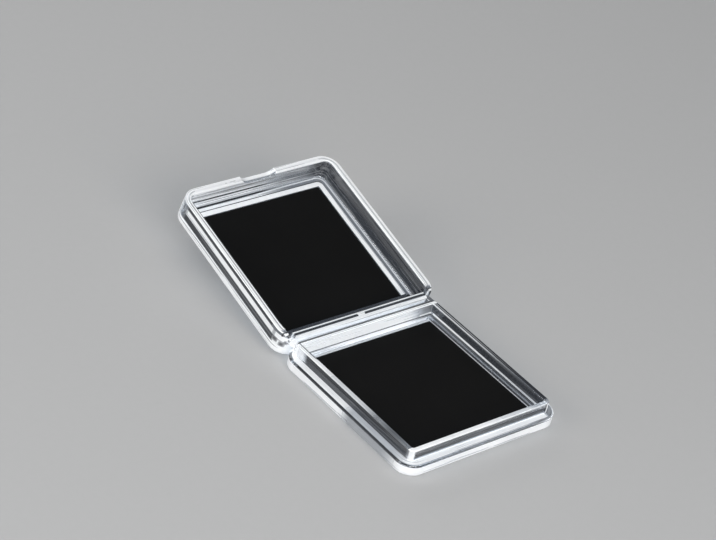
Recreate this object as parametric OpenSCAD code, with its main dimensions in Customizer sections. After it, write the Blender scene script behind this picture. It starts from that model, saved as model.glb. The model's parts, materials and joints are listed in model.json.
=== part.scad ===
// Clear hinged display box for one coin capsule, drawn standing open.
// Millimetres. The origin is at the middle of the base's underside, +Z is up and the hinge is at +Y.

/* [Box] */
// Outside width, along the hinge
box_w = 60; // [54:1:90]
// Outside depth of the lid, from front to hinge
box_d = 61.5; // [54:0.5:90]
// Outside corner radius in plan
corner_r = 5.6; // [5:0.1:7]
// Angle at which the lid's rear face meets the base's rear edge, in degrees
stop_angle = 165.6; // [150:0.1:167]
// How far open the lid is drawn, from closed to its stop
open_share = 1; // [0:0.05:1]

/* [Base tray] */
// Height of the ledge that the lid closes on
ledge_h = 4.1; // [4.1:0.1:5]
// Thickness of the floor
base_floor = 2; // [1.4:0.1:2.4]
// Height of the upstanding wall above the ledge
base_wall_h = 3.6; // [3.6:0.1:4.4]
// Thickness of the front and side walls
base_wall = 1.6; // [1.1:0.05:1.8]
// Thickness of the rear wall, which leaves room for the lid's swing
rear_wall = 1.8; // [0.8:0.05:2]
// Outside corner radius of the upstanding wall
base_wall_r = 2; // [1.8:0.1:2.6]
// Rounding of the lower outside edge
base_edge_r = 1.1; // [0.4:0.1:1.4]
// Rounding of the ledge's top edge
ledge_r = 0.5; // [0.2:0.05:0.6]

/* [Lid] */
// Height of the lid from its rim to its top
lid_h = 9; // [7:0.1:9]
// Thickness of the lid's front and side walls
lid_wall = 2.3; // [2:0.05:3.2]
// Thickness of the lid's rear wall
lid_rear_wall = 2.9; // [2.7:0.05:3.2]
// Thickness of the lid's plate
lid_plate = 1.4; // [0.8:0.1:1.8]
// Rounding of the top outside edge
lid_edge_r = 1.4; // [0.6:0.1:1.8]
// Width of the thumb notch in the front rim
notch_w = 13.5; // [10:0.5:20]
// Depth of the thumb notch
notch_depth = 1.6; // [0.8:0.1:2.2]
// Radius of the thumb notch's two ends
notch_end_r = 3.7; // [2.5:0.1:4]
// Width of the moulding nib on the rear rim
nib_w = 2.4; // [1:0.1:5]
// Radius of the moulding nib
nib_r = 0.5; // [0.3:0.05:0.55]
// How far the moulding nib stands out of the rear rim
nib_rise = 0.3; // [0.1:0.05:0.3]

/* [Edges] */
// Rounding of the rims
rim_r = 0.3; // [0.1:0.05:0.3]
// Fillet between the floors and the walls
fillet_r = 0.6; // [0.3:0.1:1]

/* [Liner cards] */
// Thickness of the liner cards
liner_t = 0.5; // [0.3:0.1:0.8]
// Border from the base's wall to its liner card
base_border = 1.5; // [1.5:0.1:4]
// Border from the lid's wall to its liner card
lid_border = 4.3; // [4:0.1:7]
// Width of the frame moulded round the base's card
base_frame_w = 0.7; // [0.5:0.1:0.9]
// Width of the frame moulded round the lid's card
lid_frame_w = 1.8; // [0.8:0.1:2.4]
// Height of the two frames
frame_h = 0.8; // [0.5:0.1:1]
// Rounding of the frames' top edge
frame_r = 0.3; // [0.1:0.05:0.4]

/* [Hinge] */
// Distance of the hinge axis from the lid's rear face
axis_inset = 1; // [1:0.05:1.1]
// Height of the hinge axis above the ledge
axis_rise = 2.4; // [2.35:0.05:2.4]
// Diameter of the hinge pins
pin_d = 1; // [0.8:0.05:1.1]
// Length of a hinge pin
pin_len = 5.8; // [4:0.1:8]
// Rounding of a hinge pin's ends
pin_edge_r = 0.12; // [0.05:0.01:0.2]
// Radius of the round ends of the base's hinge ears
ear_r = 0.85; // [0.75:0.05:0.85]
// Rounding of the inner edge of the lid's rear rim
knuckle_r = 1.3; // [1.1:0.05:1.4]
// Rounding of the outer edge of the lid's rear rim
heel_r = 0.5; // [0.3:0.05:0.6]

/* [Clearances] */
// Gap between the closed lid's rim and the ledge
rim_gap = 0.1; // [0.05:0.05:0.3]
// Gap between the closed lid's rear rim and the ledge
rear_rim_gap = 0.4; // [0.35:0.05:0.5]
// Gap between the lid's walls and the base's walls
wall_gap = 0.3; // [0.1:0.05:0.3]
// Gap between the swinging rear rim and the base's rear wall
swing_gap = 0.3; // [0.25:0.05:0.4]
// Gap between the lid's rear face and the base's rear edge at the stop
stop_gap = 0.1; // [0.05:0.05:0.3]
// Gap round a pin in the lid
pin_gap = 0.04; // [0.02:0.01:0.08]
// Gap round a pin in its ear
seat_gap = 0.01; // [0.01:0.01:0.02]
// Gap between a liner card and its frame
card_gap = 0.05; // [0.02:0.01:0.2]

/* [Hidden] */
$fn = 64;
// How far a cut or a joined shape runs past the face that it meets
CUT = 0.5;

// Heights with the lid closed
lid_rim_z = ledge_h + rim_gap;
rear_rim_z = ledge_h + rear_rim_gap;
lid_top_z = lid_rim_z + lid_h;
ceiling_z = lid_top_z - lid_plate;
base_rim_z = ledge_h + base_wall_h;

// Hinge axis, and the reach of the lid's rear rim as it swings past the base's rear wall
axis_y = box_d / 2 - axis_inset;
axis_z = ledge_h + axis_rise;
lid_in_x = box_w / 2 - lid_wall;
lid_front_y = lid_wall - box_d / 2;
lid_rear_y = box_d / 2 - lid_rear_wall;
lid_in_d = lid_rear_y - lid_front_y;
lid_mid_y = (lid_rear_y + lid_front_y) / 2;
lid_in_r = base_wall_r + wall_gap;
knuckle_y = lid_rear_y + knuckle_r;
knuckle_z = rear_rim_z + knuckle_r;
swing_r = norm([knuckle_y - axis_y, knuckle_z - axis_z]) + knuckle_r;

// Upstanding wall and cavity of the base
wall_x = lid_in_x - wall_gap;
wall_front_y = lid_front_y + wall_gap;
wall_rear_y = axis_y - swing_r - swing_gap;
wall_d = wall_rear_y - wall_front_y;
wall_mid_y = (wall_rear_y + wall_front_y) / 2;
cavity_x = wall_x - base_wall;
cavity_front_y = wall_front_y + base_wall;
cavity_rear_y = wall_rear_y - rear_wall;
cavity_d = cavity_rear_y - cavity_front_y;
cavity_mid_y = (cavity_rear_y + cavity_front_y) / 2;
cavity_r = max(base_wall_r - base_wall, fillet_r);

// Base outline, whose rear edge lies just in front of the lid's rear face at the stop
tilt = 180 - stop_angle;
base_rear_y = axis_y - (axis_inset + stop_gap - axis_rise * sin(tilt)) / cos(tilt);
base_d = base_rear_y + box_d / 2;
base_mid_y = base_rear_y - base_d / 2;

// Ears of the base, and the slots that they fill in the lid
ear_in_x = cavity_x;
ear_out_x = wall_x;
ear_front_y = wall_rear_y - base_wall_r;
slot_in_x = ear_in_x - wall_gap;
slot_front_y = lid_rear_y - lid_in_r;
slot_top_z = axis_z + ear_r + wall_gap;
bore_len = pin_len - (ear_out_x - slot_in_x) + wall_gap;

// Liner cards
base_card_w = 2 * (cavity_x - base_border);
base_card_d = cavity_d - 2 * base_border;
lid_card_w = 2 * (lid_in_x - lid_border);
lid_card_d = lid_in_d - 2 * lid_border;

// Flat floor of the thumb notch, between its two round ends
notch_flat = notch_w - 2 * sqrt(2 * notch_end_r * notch_depth - pow(notch_depth, 2));

// Colours
CLEAR = [0.86, 0.9, 0.95, 0.4];
CHARCOAL = [0.09, 0.09, 0.09];
STEEL = [0.6, 0.6, 0.62];

// What rounding takes away from a square corner that points to +X and -Y.
module corner_cut(r) {
    difference() {
        square(r);
        translate([0, r])
            circle(r);
    }
}

// Half of a slab's section, from X = 0 out to its side, with rounded lower and upper edges.
module side_profile(reach, h, low_r, high_r) {
    difference() {
        square([reach, h]);
        translate([reach - low_r, 0])
            corner_cut(low_r);
        translate([reach - high_r, h])
            mirror([0, 1])
                corner_cut(high_r);
    }
}

// Section of the cut that rounds the inner edge of a rim lying at Y = 0, above a cavity wall at X = reach.
module mouth_profile(reach, edge_r) {
    difference() {
        translate([0, -edge_r])
            square([reach + edge_r, edge_r + CUT]);
        translate([reach + edge_r, -edge_r])
            circle(edge_r);
    }
}

// Carries a section round a rectangle with corner radius r. The section's X starts r inside the sides.
module loop(w, d, r) {
    for (quarter = [0:3]) {
        along = quarter % 2 == 0 ? w / 2 - r : d / 2 - r;
        out = quarter % 2 == 0 ? d / 2 - r : w / 2 - r;
        rotate(90 * quarter) {
            translate([-along, out, 0])
                rotate([90, 0, 90])
                    linear_extrude(2 * along)
                        children();
            translate([along, out, 0])
                rotate_extrude(angle = 90)
                    children();
        }
    }
}

// Rounded rectangle of height h with rounded lower and upper edges.
module slab(w, d, r, h, low_r, high_r) {
    loop(w, d, r)
        side_profile(r, h, low_r, high_r);
    translate([r - w / 2, r - d / 2, 0])
        cube([w - 2 * r, d - 2 * r, h]);
}

// Raised frame that holds a liner card of the given size, standing on Z = 0.
module card_frame(card_w, card_d, frame_w) {
    side = frame_w + card_gap;
    loop(card_w + 2 * side, card_d + 2 * side, frame_w)
        translate([0, -CUT])
            side_profile(frame_w, frame_h + CUT, frame_r, frame_r);
}

// Carries a section along X from x0 to x1. The section's X and Y become Y and Z.
module along_x(x0, x1) {
    translate([x0, 0, 0])
        rotate([90, 0, 90])
            linear_extrude(x1 - x0)
                children();
}

// Moves what belongs to the lid from its closed place to its drawn one.
module swing() {
    translate([0, axis_y, axis_z])
        rotate([-stop_angle * open_share, 0, 0])
            translate([0, -axis_y, -axis_z])
                children();
}

// Both sides of something that is drawn at +X.
module both_sides() {
    children();
    mirror([1, 0, 0])
        children();
}

// Ear of the base: the side wall carried back to the hinge axis.
module ear() {
    along_x(ear_in_x, ear_out_x) {
        translate([ear_front_y, ledge_h - CUT])
            square([wall_rear_y - ear_front_y, axis_rise + ear_r + CUT]);
        translate([ear_front_y, axis_z - ear_r])
            square([axis_y - ear_front_y, 2 * ear_r]);
        translate([axis_y, axis_z])
            circle(ear_r);
    }
}

module base_tray() {
    color(CLEAR) {
        difference() {
            union() {
                translate([0, base_mid_y, 0])
                    slab(box_w, base_d, corner_r, ledge_h, base_edge_r, ledge_r);
                translate([0, wall_mid_y, base_floor])
                    slab(2 * wall_x, wall_d, base_wall_r, base_rim_z - base_floor, rim_r, rim_r);
                both_sides()
                    ear();
            }
            translate([0, cavity_mid_y, base_floor])
                slab(2 * cavity_x, cavity_d, cavity_r, base_rim_z - base_floor + CUT, fillet_r, rim_r / 2);
            translate([0, cavity_mid_y, base_rim_z])
                loop(2 * cavity_x, cavity_d, cavity_r)
                    mouth_profile(cavity_r, rim_r);
            both_sides()
                along_x(ear_in_x - CUT, ear_out_x + CUT)
                    translate([axis_y, axis_z])
                        circle(pin_d / 2 + seat_gap);
        }
        translate([0, cavity_mid_y, base_floor])
            card_frame(base_card_w, base_card_d, base_frame_w);
    }
}

// Section of what is taken off the lid's rear rim so that it can swing.
module rear_rim_cut() {
    difference() {
        translate([lid_rear_y - CUT, lid_rim_z - CUT])
            square([lid_rear_wall + 2 * CUT, knuckle_z - lid_rim_z + CUT]);
        translate([knuckle_y, knuckle_z])
            circle(knuckle_r);
        translate([knuckle_y, rear_rim_z])
            square([box_d / 2 - heel_r - knuckle_y, knuckle_r + CUT]);
        translate([box_d / 2 - heel_r, rear_rim_z + heel_r])
            circle(heel_r);
        translate([knuckle_y, rear_rim_z + heel_r])
            square([lid_rear_wall, knuckle_r + CUT]);
    }
}

// Thumb notch through the front wall: a flat floor between two round ends.
module notch() {
    translate([0, -box_d / 2 - CUT, lid_rim_z]) {
        translate([-notch_flat / 2, 0, -CUT])
            cube([notch_flat, lid_wall + 2 * CUT, notch_depth + CUT]);
        both_sides()
            translate([notch_flat / 2, 0, notch_depth - notch_end_r])
                rotate([-90, 0, 0])
                    cylinder(r = notch_end_r, h = lid_wall + 2 * CUT);
    }
}

// The lid in its closed place.
module lid_closed() {
    difference() {
        translate([0, 0, lid_rim_z])
            slab(box_w, box_d, corner_r, lid_h, rim_r, lid_edge_r);
        translate([0, lid_mid_y, lid_rim_z - CUT])
            slab(2 * lid_in_x, lid_in_d, lid_in_r, ceiling_z - lid_rim_z + CUT, rim_r / 2, fillet_r);
        translate([0, lid_mid_y, lid_rim_z])
            mirror([0, 0, 1])
                loop(2 * lid_in_x, lid_in_d, lid_in_r)
                    mouth_profile(lid_in_r, rim_r);
        notch();
        along_x(-slot_in_x - CUT, slot_in_x + CUT)
            rear_rim_cut();
        both_sides()
            translate([slot_in_x, slot_front_y, lid_rim_z - CUT])
                cube([lid_in_x - slot_in_x, box_d / 2 - slot_front_y + CUT, slot_top_z - lid_rim_z + CUT]);
        both_sides()
            along_x(slot_in_x - bore_len, slot_in_x + CUT)
                translate([axis_y, axis_z])
                    circle(pin_d / 2 + pin_gap);
    }
    translate([0, lid_mid_y, ceiling_z])
        mirror([0, 0, 1])
            card_frame(lid_card_w, lid_card_d, lid_frame_w);
    along_x(-nib_w / 2, nib_w / 2)
        translate([knuckle_y, rear_rim_z + nib_r - nib_rise])
            circle(nib_r);
}

module lid() {
    color(CLEAR)
        swing()
            lid_closed();
}

module base_liner() {
    color(CHARCOAL)
        translate([-base_card_w / 2, cavity_mid_y - base_card_d / 2, base_floor])
            cube([base_card_w, base_card_d, liner_t]);
}

module lid_liner() {
    color(CHARCOAL)
        swing()
            translate([-lid_card_w / 2, lid_mid_y - lid_card_d / 2, ceiling_z - liner_t])
                cube([lid_card_w, lid_card_d, liner_t]);
}

// Pin at +X that sits in an ear and runs in the end of the lid's rear wall.
module hinge_pin() {
    color(STEEL)
        translate([ear_out_x - pin_len, axis_y, axis_z])
            rotate([0, 90, 0])
                rotate_extrude()
                    side_profile(pin_d / 2, pin_len, pin_edge_r, pin_edge_r);
}

module hinge_pin_left() {
    mirror([1, 0, 0])
        hinge_pin();
}

module hinge_pin_right() {
    hinge_pin();
}

base_tray();
lid();
base_liner();
lid_liner();
hinge_pin_left();
hinge_pin_right();
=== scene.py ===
"""Looks for the clear hinged coin-capsule box: camera, studio light, floor and procedural materials."""
import json
import math

import bmesh
import bpy
from mathutils import Matrix, Vector


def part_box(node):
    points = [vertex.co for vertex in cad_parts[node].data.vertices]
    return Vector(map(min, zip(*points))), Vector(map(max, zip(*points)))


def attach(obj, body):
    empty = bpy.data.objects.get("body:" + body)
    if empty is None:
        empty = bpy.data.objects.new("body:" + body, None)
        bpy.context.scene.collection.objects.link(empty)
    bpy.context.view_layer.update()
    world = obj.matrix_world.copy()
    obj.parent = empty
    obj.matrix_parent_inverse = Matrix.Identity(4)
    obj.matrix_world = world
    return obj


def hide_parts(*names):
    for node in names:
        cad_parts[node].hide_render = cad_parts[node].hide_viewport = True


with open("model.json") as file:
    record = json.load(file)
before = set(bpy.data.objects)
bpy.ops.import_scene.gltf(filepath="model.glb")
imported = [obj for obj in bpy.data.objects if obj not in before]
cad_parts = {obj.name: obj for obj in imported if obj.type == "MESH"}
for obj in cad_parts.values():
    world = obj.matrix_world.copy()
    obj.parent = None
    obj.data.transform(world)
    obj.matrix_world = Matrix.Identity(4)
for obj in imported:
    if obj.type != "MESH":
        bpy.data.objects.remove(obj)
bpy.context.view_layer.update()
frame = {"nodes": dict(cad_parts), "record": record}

MM = 0.001

# Camera of the photograph, fitted to its edges in its own 716 by 540 frame, with angles in degrees
PHOTO_WIDTH_PX = 716
SENSOR_MM = 36.0
FOCAL_PX = 2459.9
CAMERA_AZIMUTH = -46.264
CAMERA_ELEVATION = 33.713
CAMERA_ROLL = 13.512
CAMERA_DISTANCE = 729.64 * MM
CAMERA_RIGHT = -17.52 * MM
CAMERA_UP = 36.18 * MM
CAMERA_NEAR = 10 * MM

# Lamps: place, width and height in metres, and watts
LAMPS = {
    "front": ((-0.35, -1.1, 0.6), 0.9, 0.6, 17.0),
    "left": ((-1.1, 0.25, 0.5), 0.8, 0.5, 8.7),
    "top": ((0.1, 0.1, 1.2), 1.0, 1.0, 3.2),
    "back": ((0.3, 1.1, 0.5), 1.0, 0.4, 3.5),
}
LAMP_TARGET = (0, 0.03, 0)
SKY_COLOUR = (0.9, 0.95, 1.0, 1)
SKY_STRENGTH = 0.12

# Light has to pass the many walls of the clear plastic
BOUNCES = 32
CLEAR_BOUNCES = 24

# Floor: half its side in metres, how far it lies under the box, its grey and how much that varies
FLOOR_HALF = 4.0
FLOOR_DROP = 0.05 * MM
FLOOR_GREY = 0.44
FLOOR_MOTTLE = 0.015
FLOOR_GRAIN = dict(scale=0.4, detail=3.0)
FLOOR_ROUGH = 0.9

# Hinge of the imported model, about which the lid stands open at rest
HINGE = frame["record"]["behaviour"]["joints"][0]
HINGE_MM = tuple(v / MM for v in HINGE["pos_m"])
OPEN_ANGLE = math.radians(HINGE["range_deg"][1])

# Outline of the box with the lid closed, in millimetres
# The lid's front is flush with the base's, and the lid reaches as far behind the origin as before it
# The base's flange ends before its hinge ears do
BASE_LOW, BASE_HIGH = (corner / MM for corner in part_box("base_tray"))
HALF_W = BASE_HIGH.x
CORNER_R = 5.6
LID_HALF_D = -BASE_LOW.y
FLANGE_REAR_Y = 29.2
BASE_HALF_D = (FLANGE_REAR_Y + LID_HALF_D) / 2
BASE_MID_Y = (FLANGE_REAR_Y - LID_HALF_D) / 2

# Clear plastic: its faint blue-grey cast, darker than the plastic's own to paint in the dark seen through
# its walls, the colours of its painted highlights, painted dark lines and painted shade at full strength,
# and its shadow
CAST_DARK = (0.58, 0.62, 0.68, 1)
CAST_LIGHT = (0.66, 0.7, 0.75, 1)
PAINTED_HIGHLIGHT_COLOUR = (0.97, 0.98, 0.99, 1)
PAINTED_DARK_LINE_COLOUR = (0.012, 0.013, 0.016, 1)
PAINTED_SHADE_COLOUR = (0.03, 0.033, 0.04, 1)
SHADOW_COLOUR = (0.74, 0.77, 0.8, 1)
PAINTED_HIGHLIGHT_OPACITY = 0.85
PAINTED_DARK_OPACITY = 0.75
PLASTIC_IOR = 1.57
PLASTIC_ROUGH = (0.02, 0.05)
SCRATCH_ROUGH = 0.05
PAINTED_HIGHLIGHT_ROUGH = 0.3
WAVE_HEIGHT = 0.008 * MM
GRIT_SHARE = 0.05

# Noises in the plastic, with scales per millimetre
WAVES = dict(scale=0.12, detail=2.0)
GRAIN = dict(scale=3.0, detail=3.0)
SCRATCHES = dict(scale=0.5, detail=4.0, stretch=(0.35, 9.0, 2.0))
STREAK_NOISE = dict(scale=1.0, detail=2.0, stretch=(1.1, 1.1, 0.03))

# Stretches of a noise over which scratches, painted reflection streaks and breaks in the painted highlights
# come in
SCRATCH_RANGE = (0.66, 0.72)
WHITE_STREAK_RANGE = (0.5, 0.58)
DARK_STREAK_RANGE = (0.46, 0.4)
HIGHLIGHT_BREAK_RANGE = (0.44, 0.36)

# How far the noises change the strength of the marks
PAINTED_HIGHLIGHT_BREAKS = (1.0, 0.7)
PAINTED_HIGHLIGHT_WAVES = (0.85, 1.1)
PAINTED_SHADE_GRAIN = (0.9, 1.1)

# Liner card: fibres that run both ways, under broad clouds
CARD_DARK = (0.0025, 0.0025, 0.0026, 1)
CARD_LIGHT = (0.006, 0.006, 0.006, 1)
CARD_ROUGH = (0.75, 0.95)
CARD_SPECULAR = 0.08
FIBRES_ALONG = dict(scale=1.2, detail=4.0, stretch=(1.0, 8.0, 1.0))
FIBRES_ACROSS = dict(scale=1.1, detail=4.0, stretch=(8.0, 1.0, 1.0))
CLOUDS = dict(scale=0.05, detail=2.0)
FIBRE_HEIGHT = 0.02 * MM

# Air left round a liner card, its corner radius and the rounding of its edges, in millimetres
CARD_AIR = 0.03
CARD_CORNER = 0.4
CARD_EDGE = 0.08
CARD_STEPS = 5

# Drawn steel wire of the pins
STEEL_DARK = (0.48, 0.48, 0.5, 1)
STEEL_LIGHT = (0.66, 0.66, 0.68, 1)
STEEL_ROUGH = (0.22, 0.4)
DRAWN_LINES = dict(scale=2.0, detail=3.0, stretch=(0.3, 12.0, 12.0))
DRAWN_HEIGHT = 0.01 * MM

# Half the width over which a mark in the plastic fades out, in millimetres
MARK_SOFT = 0.08


def mark(strength, **bands):
    """A mark's strength from 0 to 1, and the bands that bound it."""
    return strength, bands


# Light and shade painted into the plastic as marks, of four kinds
# Painted highlights are white, painted dark lines are dark and cover the highlights, and painted shade is
# dark and lies under both
# Painted streaks are reflections drawn as white and dark lines along the walls
# The highlights are strongest on the lit left and front and by the hinge, and much of the painted shade
# lies on the right
# A band runs from its low to its high end in millimetres with the lid closed, and None leaves an end open
# A third number is a fade of its own. Inset runs in from the outline, and across runs out from the middle

# Bands that several marks on the base share
BASE_RIM_LEFT = dict(z=(7.45, None), x=(None, -25))
BASE_RIM_FRONT = dict(z=(7.45, None), y=(None, -26.4))
LEDGE = dict(z=(4, 4.2), inset=(0.5, 2.6))
LEDGE_LEFT = dict(LEDGE, x=(None, -20, 4))
LEDGE_EDGE = dict(z=(3.5, 4.2), inset=(None, 0.5))
LEDGE_SEEN = dict(z=(3.95, 4.65), inset=(3.9, 4.4))
FLANGE = dict(z=(None, 3.35), inset=(None, 1))
FLANGE_LEFT = dict(FLANGE, x=(None, -20, 4))
BASE_BORDER = dict(z=(1.9, 2.95))
BASE_FRAME = dict(z=(2.5, 2.95))
REAR_WALL = dict(z=(1.9, 7.4), y=(25.2, None))

# Painted highlights on the base: white where the lamps light its rims, ledge, flange and corners, strongest
# on the left and by the hinge
BASE_PAINTED_HIGHLIGHTS = {
    "rim, left": mark(0.75, **BASE_RIM_LEFT, y=(-10, None, 8)),
    "rim, left, at the hinge": mark(0.9, **BASE_RIM_LEFT, y=(12, None, 6)),
    "rim, front": mark(0.35, **BASE_RIM_FRONT),
    "rim, front, left and middle": mark(0.6, **BASE_RIM_FRONT, x=(None, 20, 2)),
    "rim, front, left": mark(1.0, **BASE_RIM_FRONT, x=(None, 5, 8)),
    "rim, rear": mark(1.0, z=(7.45, None), y=(25.2, None)),
    "rim, right, inner line": mark(0.75, z=(7.2, None), x=(25.65, 25.95), y=(-5, None, 15)),
    "rim, right, outer line": mark(0.6, z=(7.5, None), x=(26.35, 26.65), y=(0, None, 20)),
    "ledge": mark(0.1, **LEDGE),
    "ledge, left": mark(0.45, **LEDGE_LEFT),
    "ledge, left, at the hinge": mark(1.0, **LEDGE_LEFT, y=(-1, None, 2.5)),
    "ledge, front": mark(1.0, z=(4, 4.4), inset=(0.5, 2.75), y=(None, -25, 4), x=(None, 25.5, 0.6)),
    "ledge's edge, front right": mark(0.9, **LEDGE_EDGE, y=(None, -20, 2), x=(20, None, 3)),
    "flange": mark(0.3, **FLANGE),
    "flange, left": mark(0.2, **FLANGE_LEFT),
    "flange, left, at the hinge": mark(1.0, **FLANGE_LEFT, y=(-1, None, 3)),
    "flange, front": mark(1.0, **FLANGE, y=(None, -23, 5)),
    "border, rear": mark(0.62, **BASE_BORDER, y=(23.75, None), x=(None, 24.3, 0.15)),
    "border, front": mark(1.0, **BASE_BORDER, y=(None, -24.9)),
    "frame's inner edge": mark(0.65, **BASE_FRAME, across=(24.15, 24.45, 0.05)),
    "frame's outer edge": mark(0.4, **BASE_FRAME, across=(24.85, 25.1, 0.05)),
    # A painted image of the ledge as seen through the wall
    "ledge seen through the wall": mark(0.75, **LEDGE_SEEN),
    "ledge seen through, at the hinge": mark(1.0, **LEDGE_SEEN, y=(0, None, 15)),
    "ledge seen through, rear right": mark(0.8, z=(3.95, 4.65), y=(25.2, 25.7), x=(21, 26.2, 0.5)),
    "rear wall, left and middle": mark(1.0, **REAR_WALL, x=(None, 20, 5)),
    "rear wall": mark(0.1, **REAR_WALL),
    "left wall, at the hinge": mark(0.75, z=(4.2, 7.4), x=(None, -25.6), y=(22, None, 1.2)),
    "front corner, left": mark(0.85, z=(4.2, 7.5), y=(None, -26.7, 0.3), x=(None, -26, 0.3)),
    "front corner, right": mark(1.0, z=(4.2, 7.5), y=(None, -26.6, 0.3), x=(25.6, None, 0.2)),
    "front wall, below its rim": mark(0.5, z=(6.9, None, 0.8), y=(None, -27.9)),
}
# Painted dark lines on the base: thin painted shade and dark reflections along its edges and rims
BASE_PAINTED_DARK_LINES = {
    "ledge's edge, front and rear": mark(0.4, **LEDGE_EDGE, x=(-22, 24, 1.5)),
    "ledge's edge, front": mark(0.3, z=(3.3, 4.2), inset=(None, 0.95), y=(None, -25, 2), x=(-12, 21, 4)),
    "ledge's edge, front right": mark(
        0.75, z=(3.3, 4.2), inset=(0.15, 0.95), y=(None, -25, 2), x=(19, 28, 3)
    ),
    "ledge's edge, left": mark(0.95, **LEDGE_EDGE, x=(None, -26, 2), y=(-26.5, 22, 0.8)),
    "ledge's edge, rear left": mark(
        0.9, z=(3.5, 4.2), inset=(None, 0.85), x=(None, -27), y=(24.3, 27.6, 0.3)
    ),
    "rear wall's foot": mark(0.95, z=(3.5, 3.95), y=(25.2, 25.7)),
    "rear rim": mark(0.95, z=(7.45, None), y=(26.3, 27.1)),
    "rim, left, at the hinge": mark(0.9, z=(7.4, None), x=(-26.35, -25.95), y=(18.5, None, 1)),
}
# Painted shade on the base: its walls, border, rim and right side darkened as if in shade
BASE_PAINTED_SHADE = {
    "wall's outside, sides": mark(1.0, z=(4.14, 7.3, 0.05), across=(27.2, 28), y=(-26.6, 21.5, 1)),
    "wall's outside, front": mark(1.0, z=(4.7, 6.6, 0.4), y=(-28.5, -27.9), across=(None, 25.9)),
    "wall's inside": mark(0.95, z=(4.65, 7.25), across=(25.6, 26)),
    "wall's inside, below the ledge": mark(0.95, z=(2.9, 4.05), across=(25.6, 26)),
    "border, sides": mark(1.0, **BASE_BORDER, across=(24.4, 25.8), y=(-24.9, 23.7)),
    "rim, left, at the front": mark(0.8, z=(7.3, None), x=(None, -25.8), y=(-26, -12, 6)),
    "flange, left, at the front": mark(0.5, **FLANGE, x=(None, -26), y=(-24, -2, 2)),
    "rim, right": mark(1.0, z=(7.3, None), x=(25.9, None), y=(-26, None)),
    "rear wall, right": mark(0.8, z=(2.9, 7.3), y=(25.2, 25.7), x=(20, None, 3)),
    "ledge, right": mark(0.9, z=(4, 4.2), inset=(0.5, None), x=(26, None, 0.4)),
}
# Painted reflection streaks on the base's walls
BASE_PAINTED_STREAKS = {
    "walls": mark(0.06, inset=(None, 4.5, 0.3)),
}

# Bands that several marks on the lid share
LID_RIM = dict(z=(None, 4.45))
LID_RIM_INSIDE = dict(z=(None, 4.6), inset=(1.9, 2.55))
SIDE_BY_RIM = dict(z=(5.6, 7.5, 0.2), inset=(None, 0.3))
SIDE_BY_TOP = dict(z=(9.8, 12.5, 0.2), inset=(None, 0.7))
REAR_CORNER = dict(x=(None, -24), inset=(None, 0.4))
FRONT_WALL = dict(inset=(2.1, 2.5), y=(None, -28))
FRONT_STREAK_BAND = dict(inset=(1.9, 2.7), y=(None, -28))

# Painted highlights on the lid: white where the lamps light its rim, corners, nib, heel and walls, many of
# them stronger on the left
LID_PAINTED_HIGHLIGHTS = {
    "rim": mark(1.0, **LID_RIM, inset=(0.1, 1.95), y=(None, 27, 0.6)),
    "rim's outer edge": mark(1.0, z=(None, 4.4), inset=(None, 0.45)),
    "rim's inner edge, right": mark(1.0, **LID_RIM_INSIDE, x=(20, None, 4)),
    "rim's inner edge, front": mark(1.0, **LID_RIM_INSIDE, y=(None, -27)),
    "rim's inner edge, rear": mark(
        0.8, z=(None, 5.5), inset=(1.9, 2.7), y=(24.5, None, 0.5), x=(None, -20, 4)
    ),
    "notch": mark(0.9, z=(None, 6), y=(None, -29.4, 0.3), across=(None, 6.9)),
    "front corner, left": mark(
        0.9, z=(4.5, 12.8), inset=(None, 0.3), y=(None, -27.7, 0.8), x=(None, -26.4, 1)
    ),
    "rear corner, left": mark(
        0.9, z=(5.4, 12.5), inset=(None, 0.4), y=(25.6, None, 0.6), x=(None, -22, 6)
    ),
    "rear rim's inner edge": mark(1.0, z=(None, 6.9), y=(28.3, 28.9)),
    "heel": mark(0.9, z=(None, 6.9), y=(29.8, None)),
    "nib": mark(1.0, z=(None, 5.3), y=(27.9, 29.8), across=(None, 1.3)),
    "side, by the rim": mark(0.2, **SIDE_BY_RIM),
    "side, by the rim, left": mark(1.0, **SIDE_BY_RIM, x=(None, -25), y=(-24.5, 25, 1.2)),
    "side, by the top": mark(0.2, **SIDE_BY_TOP),
    "side, by the top, left": mark(1.0, **SIDE_BY_TOP, x=(None, -20, 2)),
    "frame": mark(1.0, z=(10.85, 11.15), inset=(3.8, None), y=(None, 23.4)),
    "wall's foot, right": mark(0.6, z=(11.5, 11.95, 0.15), inset=(2.6, 3.05), x=(0, None, 6)),
    "front wall's inside": mark(0.55, z=(4.6, 11.4, 0.2), **FRONT_WALL, x=(None, 3, 9)),
    "border, front": mark(0.9, z=(11.3, 12), inset=(2.9, 4.05), y=(None, -26), x=(None, 8, 8)),
}
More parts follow.
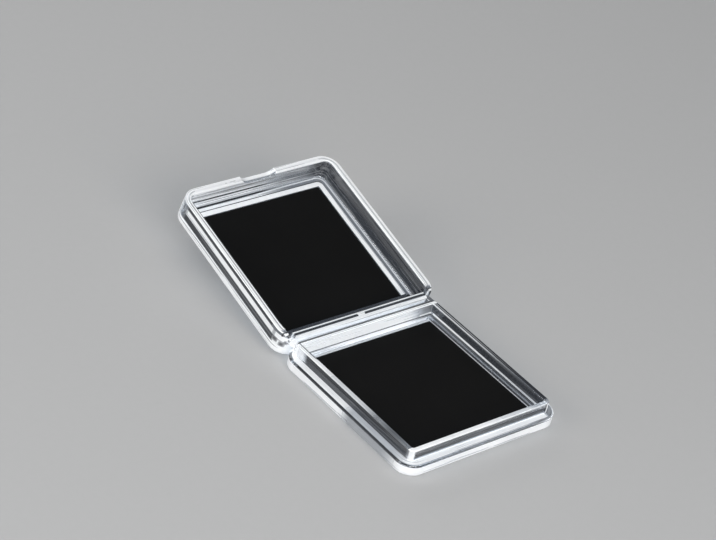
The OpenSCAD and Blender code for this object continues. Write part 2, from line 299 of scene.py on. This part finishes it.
# Painted dark lines on the lid: thin painted shade and dark reflections along its rim, corners and front
# wall
LID_PAINTED_DARK_LINES = {
    "middle of the rim": mark(0.15, **LID_RIM, inset=(1, 1.6)),
    "middle of the rim, right": mark(0.2, **LID_RIM, inset=(0.9, 1.6), x=(25, None, 2)),
    "middle of the rim, left": mark(0.3, **LID_RIM, inset=(1.1, 1.45), x=(None, -25, 1)),
    "rim's inner edge, left": mark(
        0.9, z=(None, 4.7), inset=(2, 2.6), x=(None, -25, 0.5), y=(-27, 24, 0.5)
    ),
    "rear rim": mark(0.95, z=(None, 5), y=(29, 29.75), across=(1.3, None)),
    "rear rim's inner face": mark(0.9, z=(None, 5.6), y=(27.8, 28.25)),
    "rear corner, left, first": mark(0.9, z=(7.4, 8.8, 0.45), y=(25.6, 27.2, 0.4), **REAR_CORNER),
    "rear corner, left, second": mark(0.9, z=(7.9, 9.4, 0.45), y=(28, 29.3, 0.4), **REAR_CORNER),
    "rear corner, left, third": mark(0.8, z=(6.9, 8.1, 0.4), y=(29.1, 29.8, 0.3), **REAR_CORNER),
    "rear corner, left, by the rim": mark(0.7, z=(4.6, 5.4, 0.15), y=(27.8, 28.7, 0.2), **REAR_CORNER),
    "front corner, left": mark(
        0.85, z=(4.7, 7.2, 0.3), y=(-26.7, -25.9, 0.25), x=(None, -28), inset=(None, 0.4)
    ),
    "front wall, by the rim": mark(0.8, z=(6.25, 6.75, 0.15), **FRONT_WALL, x=(None, 4, 9)),
    "front wall": mark(1.0, z=(8.25, 8.95, 0.15), **FRONT_WALL, x=(None, 6, 6)),
    "front wall's foot": mark(1.0, z=(11.45, 12), inset=(2.2, 2.8), y=(None, -27.5), x=(None, 10, 8)),
    "frame's front edge": mark(1.0, z=(10.9, 12), inset=(4.1, 4.6), y=(None, -25.5)),
}
# Painted shade on the lid: its sides, inner walls, border and notch darkened as if in shade
LID_PAINTED_SHADE = {
    "notch": mark(0.35, z=(None, 6), y=(-29.4, -28.4, 0.3), across=(None, 6.9)),
    "side, next to the rim": mark(1.0, z=(4.35, 5.4), inset=(None, 0.4), y=(-25, 24, 1)),
    "side, middle": mark(1.0, z=(7.7, 9.6), inset=(None, 0.4), y=(-25, 26.4, 0.8)),
    "wall's inside, left": mark(1.0, z=(4.9, 11), inset=(2.1, 2.5), x=(None, -27)),
    "wall's inside, right": mark(1.0, z=(4.9, 11.45), inset=(1.75, 2.6), x=(22, None, 3)),
    "wall's inside, front": mark(0.7, z=(4.9, 11), **FRONT_WALL, x=(8, None, 6)),
    "border, right": mark(0.7, z=(11.3, 12), inset=(3.2, 4.6), x=(0, None, 6)),
    "border, rear": mark(0.95, z=(10.7, 12), y=(23.4, 27.9)),
}
# Painted reflection streaks on the lid's walls, strongest on the left of its front wall
LID_PAINTED_STREAKS = {
    "walls": mark(0.1, inset=(None, 3.2, 0.3)),
    "front wall": mark(0.45, **FRONT_STREAK_BAND, x=(None, 18, 4)),
    "front wall, left": mark(0.7, **FRONT_STREAK_BAND, x=(None, 3, 8)),
}

BASE_MARKS = (BASE_PAINTED_HIGHLIGHTS, BASE_PAINTED_DARK_LINES, BASE_PAINTED_SHADE, BASE_PAINTED_STREAKS)
LID_MARKS = (LID_PAINTED_HIGHLIGHTS, LID_PAINTED_DARK_LINES, LID_PAINTED_SHADE, LID_PAINTED_STREAKS)


def add(name, data):
    """A new object in the scene."""
    made = bpy.data.objects.new(name, data)
    bpy.context.scene.collection.objects.link(made)
    return made


def make_camera():
    azimuth = math.radians(CAMERA_AZIMUTH)
    elevation = math.radians(CAMERA_ELEVATION)
    roll = math.radians(CAMERA_ROLL)
    level = math.cos(elevation)
    back = Vector((math.sin(azimuth) * level, -math.cos(azimuth) * level, math.sin(elevation)))
    flat_right = Vector((0, 0, 1)).cross(back).normalized()
    flat_up = back.cross(flat_right)
    right = math.cos(roll) * flat_right + math.sin(roll) * flat_up
    up = -math.sin(roll) * flat_right + math.cos(roll) * flat_up
    place = back * CAMERA_DISTANCE + right * CAMERA_RIGHT + up * CAMERA_UP
    data = bpy.data.cameras.new("camera")
    data.sensor_width = SENSOR_MM
    data.lens = FOCAL_PX / PHOTO_WIDTH_PX * SENSOR_MM
    data.clip_start = CAMERA_NEAR
    camera = add("camera", data)
    turn = Matrix((right, up, back)).transposed().to_4x4()
    camera.matrix_world = Matrix.Translation(place) @ turn
    bpy.context.scene.camera = camera


def make_light():
    for name, (place, width, height, watts) in LAMPS.items():
        data = bpy.data.lights.new(name, "AREA")
        data.shape = "RECTANGLE"
        data.size = width
        data.size_y = height
        data.energy = watts
        lamp = add(name, data)
        aim = Vector(LAMP_TARGET) - Vector(place)
        lamp.rotation_euler = aim.to_track_quat("-Z", "Y").to_euler()
        lamp.location = place
    world = bpy.data.worlds.new("world")
    world.use_nodes = True
    background = world.node_tree.nodes["Background"]
    background.inputs["Color"].default_value = SKY_COLOUR
    background.inputs["Strength"].default_value = SKY_STRENGTH
    bpy.context.scene.world = world


class Graph:
    """A material's node tree, written as formulas."""

    def __init__(self, name):
        self.material = bpy.data.materials.new(name)
        self.material.use_nodes = True
        self.tree = self.material.node_tree
        self.shader = self.tree.nodes["Principled BSDF"]
        self.output = self.tree.nodes["Material Output"]

    def feed(self, socket, value):
        if isinstance(value, bpy.types.NodeSocket):
            self.tree.links.new(value, socket)
        else:
            socket.default_value = value

    def finish(self, **values):
        """Sets the shader's sockets; a low line in a name stands for a space."""
        for name, value in values.items():
            self.feed(self.shader.inputs[name.replace("_", " ")], value)

    def node(self, kind, inputs, **settings):
        made = self.tree.nodes.new(kind)
        for name, value in settings.items():
            setattr(made, name, value)
        for key, value in inputs.items():
            self.feed(made.inputs[key], value)
        return made

    def math(self, operation, *values):
        return self.node("ShaderNodeMath", dict(enumerate(values)), operation=operation).outputs[0]

    def times(self, first, second):
        return self.math("MULTIPLY", first, second)

    def most(self, first, second):
        return self.math("MAXIMUM", first, second)

    def mean(self, first, second):
        return self.times(self.math("ADD", first, second), 0.5)

    def rest(self, share):
        """What a share leaves of 1."""
        return self.math("SUBTRACT", 1.0, share)

    def vector(self, operation, *values):
        return self.node("ShaderNodeVectorMath", dict(enumerate(values)), operation=operation).outputs[0]

    def axes(self, vector):
        return self.node("ShaderNodeSeparateXYZ", {0: vector}).outputs

    def ramp(self, value, low, high):
        """0 at low and 1 at high, smooth between them; low may be the greater."""
        inputs = {"Value": value, "From Min": low, "From Max": high}
        return self.node("ShaderNodeMapRange", inputs, interpolation_type="SMOOTHSTEP").outputs["Result"]

    def band(self, value, low, high, soft=MARK_SOFT):
        """1 from low to high, fading over twice soft at each end; an end that is None is open."""
        share = 1.0
        if low is not None:
            share = self.ramp(value, low - soft, low + soft)
        if high is not None:
            share = self.times(share, self.ramp(value, high + soft, high - soft))
        return share

    def marks(self, table, places):
        """A table's marks laid over each other."""
        bare = 1.0
        for strength, bands in table.values():
            share = strength
            for axis, ends in bands.items():
                share = self.times(share, self.band(places[axis], *ends))
            bare = self.times(bare, self.rest(share))
        return self.rest(bare)

    def span(self, share, low, high):
        """The number between low and high at a share from 0 to 1."""
        return self.math("MULTIPLY_ADD", share, high - low, low)

    def tint(self, share, low, high):
        """The colour between low and high at a share from 0 to 1."""
        return self.node("ShaderNodeMix", {0: share, 6: low, 7: high}, data_type="RGBA").outputs[2]

    def noise(self, place, scale, detail, stretch=(1, 1, 1)):
        stretched = self.vector("MULTIPLY", place, stretch)
        inputs = {"Vector": stretched, "Scale": scale, "Detail": detail}
        return self.node("ShaderNodeTexNoise", inputs).outputs[0]

    def bump(self, height, distance):
        return self.node("ShaderNodeBump", {"Height": height, "Distance": distance}).outputs["Normal"]

    def place(self):
        """The object's own coordinates in millimetres."""
        at = self.node("ShaderNodeTexCoord", {}).outputs["Object"]
        return self.vector("MULTIPLY", at, (1 / MM, 1 / MM, 1 / MM))

    def closed_place(self):
        """The lid's coordinates in millimetres, turned back to where they lie when it is closed."""
        inputs = {"Vector": self.place(), "Location": HINGE_MM, "Rotation": (-OPEN_ANGLE, 0, 0)}
        turned = self.node("ShaderNodeMapping", inputs, vector_type="TEXTURE").outputs[0]
        return self.vector("ADD", turned, HINGE_MM)

    def inset(self, x, y, half_d, mid_y):
        """How far a point lies inside the box's outline, which has round corners."""
        y = self.math("SUBTRACT", y, mid_y)
        past_x = self.math("SUBTRACT", self.math("ABSOLUTE", x), HALF_W - CORNER_R)
        past_y = self.math("SUBTRACT", self.math("ABSOLUTE", y), half_d - CORNER_R)
        past_x = self.most(past_x, 0.0)
        past_y = self.most(past_y, 0.0)
        square = self.math("MULTIPLY_ADD", past_x, past_x, self.times(past_y, past_y))
        return self.math("SUBTRACT", CORNER_R, self.math("SQRT", square))


def make_floor():
    graph = Graph("floor")
    dark, light = (FLOOR_GREY * (1 + change) for change in (-FLOOR_MOTTLE, FLOOR_MOTTLE))
    grain = graph.noise(graph.place(), **FLOOR_GRAIN)
    grey = graph.tint(grain, (dark, dark, dark, 1), (light, light, light, 1))
    graph.finish(Base_Color=grey, Roughness=FLOOR_ROUGH)
    mesh = bpy.data.meshes.new("floor")
    sides = ((-1, -1), (1, -1), (1, 1), (-1, 1))
    corners = [(x * FLOOR_HALF, y * FLOOR_HALF, -FLOOR_DROP) for x, y in sides]
    mesh.from_pydata(corners, [], [(0, 1, 2, 3)])
    mesh.materials.append(graph.material)
    add("floor", mesh)


def pale_shadow(graph):
    """Lets shadow rays through the shader, so that the plastic's shadow is pale."""
    see_through = graph.node("ShaderNodeBsdfTransparent", {"Color": SHADOW_COLOUR})
    shadow = graph.node("ShaderNodeLightPath", {}).outputs["Is Shadow Ray"]
    inputs = {0: shadow, 1: graph.shader.outputs[0], 2: see_through.outputs[0]}
    mix = graph.node("ShaderNodeMixShader", inputs)
    graph.feed(graph.output.inputs["Surface"], mix.outputs[0])


def plastic(name, lid):
    """Clear moulded polystyrene with waves and fine scratches, under painted highlights, painted dark
    lines, painted shade and painted reflection streak marks at its rims and walls.
    """
    graph = Graph(name)
    at = graph.closed_place() if lid else graph.place()
    x, y, z = graph.axes(at)
    half_d, mid_y = (LID_HALF_D, 0.0) if lid else (BASE_HALF_D, BASE_MID_Y)
    inset = graph.inset(x, y, half_d, mid_y)
    places = {"x": x, "y": y, "z": z, "across": graph.math("ABSOLUTE", x), "inset": inset}
    tables = LID_MARKS if lid else BASE_MARKS
    edges, lines, painted_shade, painted_streaks = (graph.marks(table, places) for table in tables)

    waves = graph.noise(at, **WAVES)
    grain = graph.noise(at, **GRAIN)
    scratch = graph.ramp(graph.noise(at, **SCRATCHES), *SCRATCH_RANGE)
    # A noise along the walls that draws the painted reflection streaks
    streak_noise_at = graph.node("ShaderNodeCombineXYZ", {0: inset, 1: z, 2: graph.math("ADD", x, y)})
    streak_noise = graph.noise(streak_noise_at.outputs[0], **STREAK_NOISE)
    painted_white_streak = graph.times(graph.ramp(streak_noise, *WHITE_STREAK_RANGE), painted_streaks)
    painted_dark_streak = graph.times(graph.ramp(streak_noise, *DARK_STREAK_RANGE), painted_streaks)

    # The painted highlights break along the streak noise and swell with the waves
    edges = graph.times(edges, graph.span(graph.ramp(streak_noise, *HIGHLIGHT_BREAK_RANGE), *PAINTED_HIGHLIGHT_BREAKS))
    painted_highlight = graph.most(graph.times(edges, graph.span(waves, *PAINTED_HIGHLIGHT_WAVES)), painted_white_streak)
    painted_highlight = graph.times(painted_highlight, graph.rest(lines))
    # Painted shade deepens along the dark streaks and varies with the grain
    painted_shade = graph.times(graph.most(painted_shade, painted_dark_streak), graph.span(grain, *PAINTED_SHADE_GRAIN))

    # The cast, darkened by painted shade and painted dark lines, then whitened by painted highlights
    cast = graph.tint(waves, CAST_DARK, CAST_LIGHT)
    cast = graph.tint(painted_shade, cast, PAINTED_SHADE_COLOUR)
    cast = graph.tint(lines, cast, PAINTED_DARK_LINE_COLOUR)
    colour = graph.tint(painted_highlight, cast, PAINTED_HIGHLIGHT_COLOUR)
    rough = graph.span(waves, *PLASTIC_ROUGH)
    rough = graph.math("MULTIPLY_ADD", scratch, SCRATCH_ROUGH, rough)
    rough = graph.math("MULTIPLY_ADD", painted_highlight, PAINTED_HIGHLIGHT_ROUGH, rough)
    # Painted marks are partly opaque, so their painted light hides what lies behind them
    painted_opacity = graph.most(graph.times(painted_highlight, PAINTED_HIGHLIGHT_OPACITY), graph.times(lines, PAINTED_DARK_OPACITY))
    painted_opacity = graph.most(painted_opacity, graph.times(painted_shade, PAINTED_DARK_OPACITY))
    grit = graph.times(graph.times(grain, edges), GRIT_SHARE)
    graph.finish(
        Base_Color=colour,
        Roughness=rough,
        Transmission_Weight=graph.rest(painted_opacity),
        IOR=PLASTIC_IOR,
        Normal=graph.bump(graph.math("ADD", waves, grit), WAVE_HEIGHT),
    )
    pale_shadow(graph)
    return graph.material


def liner_card(name, lid):
    """Matt charcoal card with a fibrous surface."""
    graph = Graph(name)
    at = graph.closed_place() if lid else graph.place()
    fibre = graph.mean(graph.noise(at, **FIBRES_ALONG), graph.noise(at, **FIBRES_ACROSS))
    shade = graph.mean(graph.noise(at, **CLOUDS), fibre)
    graph.finish(
        Base_Color=graph.tint(shade, CARD_DARK, CARD_LIGHT),
        Roughness=graph.span(fibre, *CARD_ROUGH),
        Specular_IOR_Level=CARD_SPECULAR,
        Normal=graph.bump(fibre, FIBRE_HEIGHT),
    )
    return graph.material


def pin_steel():
    """Drawn steel wire, with fine lines along its length."""
    graph = Graph("pin_steel")
    drawn = graph.noise(graph.place(), **DRAWN_LINES)
    graph.finish(
        Base_Color=graph.tint(drawn, STEEL_DARK, STEEL_LIGHT),
        Metallic=1.0,
        Roughness=graph.span(drawn, *STEEL_ROUGH),
        Normal=graph.bump(drawn, DRAWN_HEIGHT),
    )
    return graph.material


def card_outline(low, high, inset):
    """Points round a card with round corners, inset from its box."""
    points = []
    left, right = low.x + CARD_CORNER, high.x - CARD_CORNER
    front, rear = low.y + CARD_CORNER, high.y - CARD_CORNER
    reach = CARD_CORNER - inset
    for quarter, (x, y) in enumerate(((right, rear), (left, rear), (left, front), (right, front))):
        for step in range(CARD_STEPS + 1):
            turn = math.pi / 2 * (quarter + step / CARD_STEPS)
            points.append((x + reach * math.cos(turn), y + reach * math.sin(turn)))
    return points


def make_card(name, node, body, material, swing):
    """A liner card with softened edges in place of a node, drawn where the lid is closed and then swung."""
    back = swing.inverted()
    spots = [back @ v.co / MM for v in frame["nodes"][node].data.vertices]
    air = Vector((CARD_AIR, CARD_AIR, CARD_AIR))
    low = Vector([min(axis) for axis in zip(*spots)]) + air
    high = Vector([max(axis) for axis in zip(*spots)]) - air
    heights = (low.z, low.z + CARD_EDGE, high.z - CARD_EDGE, high.z)
    made = bmesh.new()
    rings = []
    for z, inset in zip(heights, (CARD_EDGE, 0, 0, CARD_EDGE)):
        outline = card_outline(low, high, inset)
        rings.append([made.verts.new(swing @ (Vector((x, y, z)) * MM)) for x, y in outline])
    for lower, upper in zip(rings, rings[1:]):
        for i in range(len(lower)):
            made.faces.new((lower[i - 1], lower[i], upper[i], upper[i - 1]))
    made.faces.new(rings[-1])
    made.faces.new(rings[0][::-1])
    mesh = bpy.data.meshes.new(name)
    made.to_mesh(mesh)
    made.free()
    mesh.materials.append(material)
    card = add(name, mesh)
    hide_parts(node)
    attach(card, body)


def dress():
    steel = pin_steel()
    finishes = {
        "base_tray": plastic("base_plastic", lid=False),
        "lid": plastic("lid_plastic", lid=True),
        "hinge_pin_left": steel,
        "hinge_pin_right": steel,
    }
    for name, material in finishes.items():
        mesh = frame["nodes"][name].data
        mesh.materials.clear()
        mesh.materials.append(material)
    pivot = Matrix.Translation(Vector(HINGE_MM) * MM)
    opened = pivot @ Matrix.Rotation(-OPEN_ANGLE, 4, "X") @ pivot.inverted()
    make_card("base_card", "base_liner", "base", liner_card("base_card", lid=False), Matrix.Identity(4))
    make_card("lid_card", "lid_liner", "lid", liner_card("lid_card", lid=True), opened)


make_camera()
make_light()
make_floor()
dress()
scene = bpy.context.scene
scene.view_settings.view_transform = "Standard"
scene.cycles.max_bounces = BOUNCES
scene.cycles.glossy_bounces = CLEAR_BOUNCES
scene.cycles.transmission_bounces = CLEAR_BOUNCES
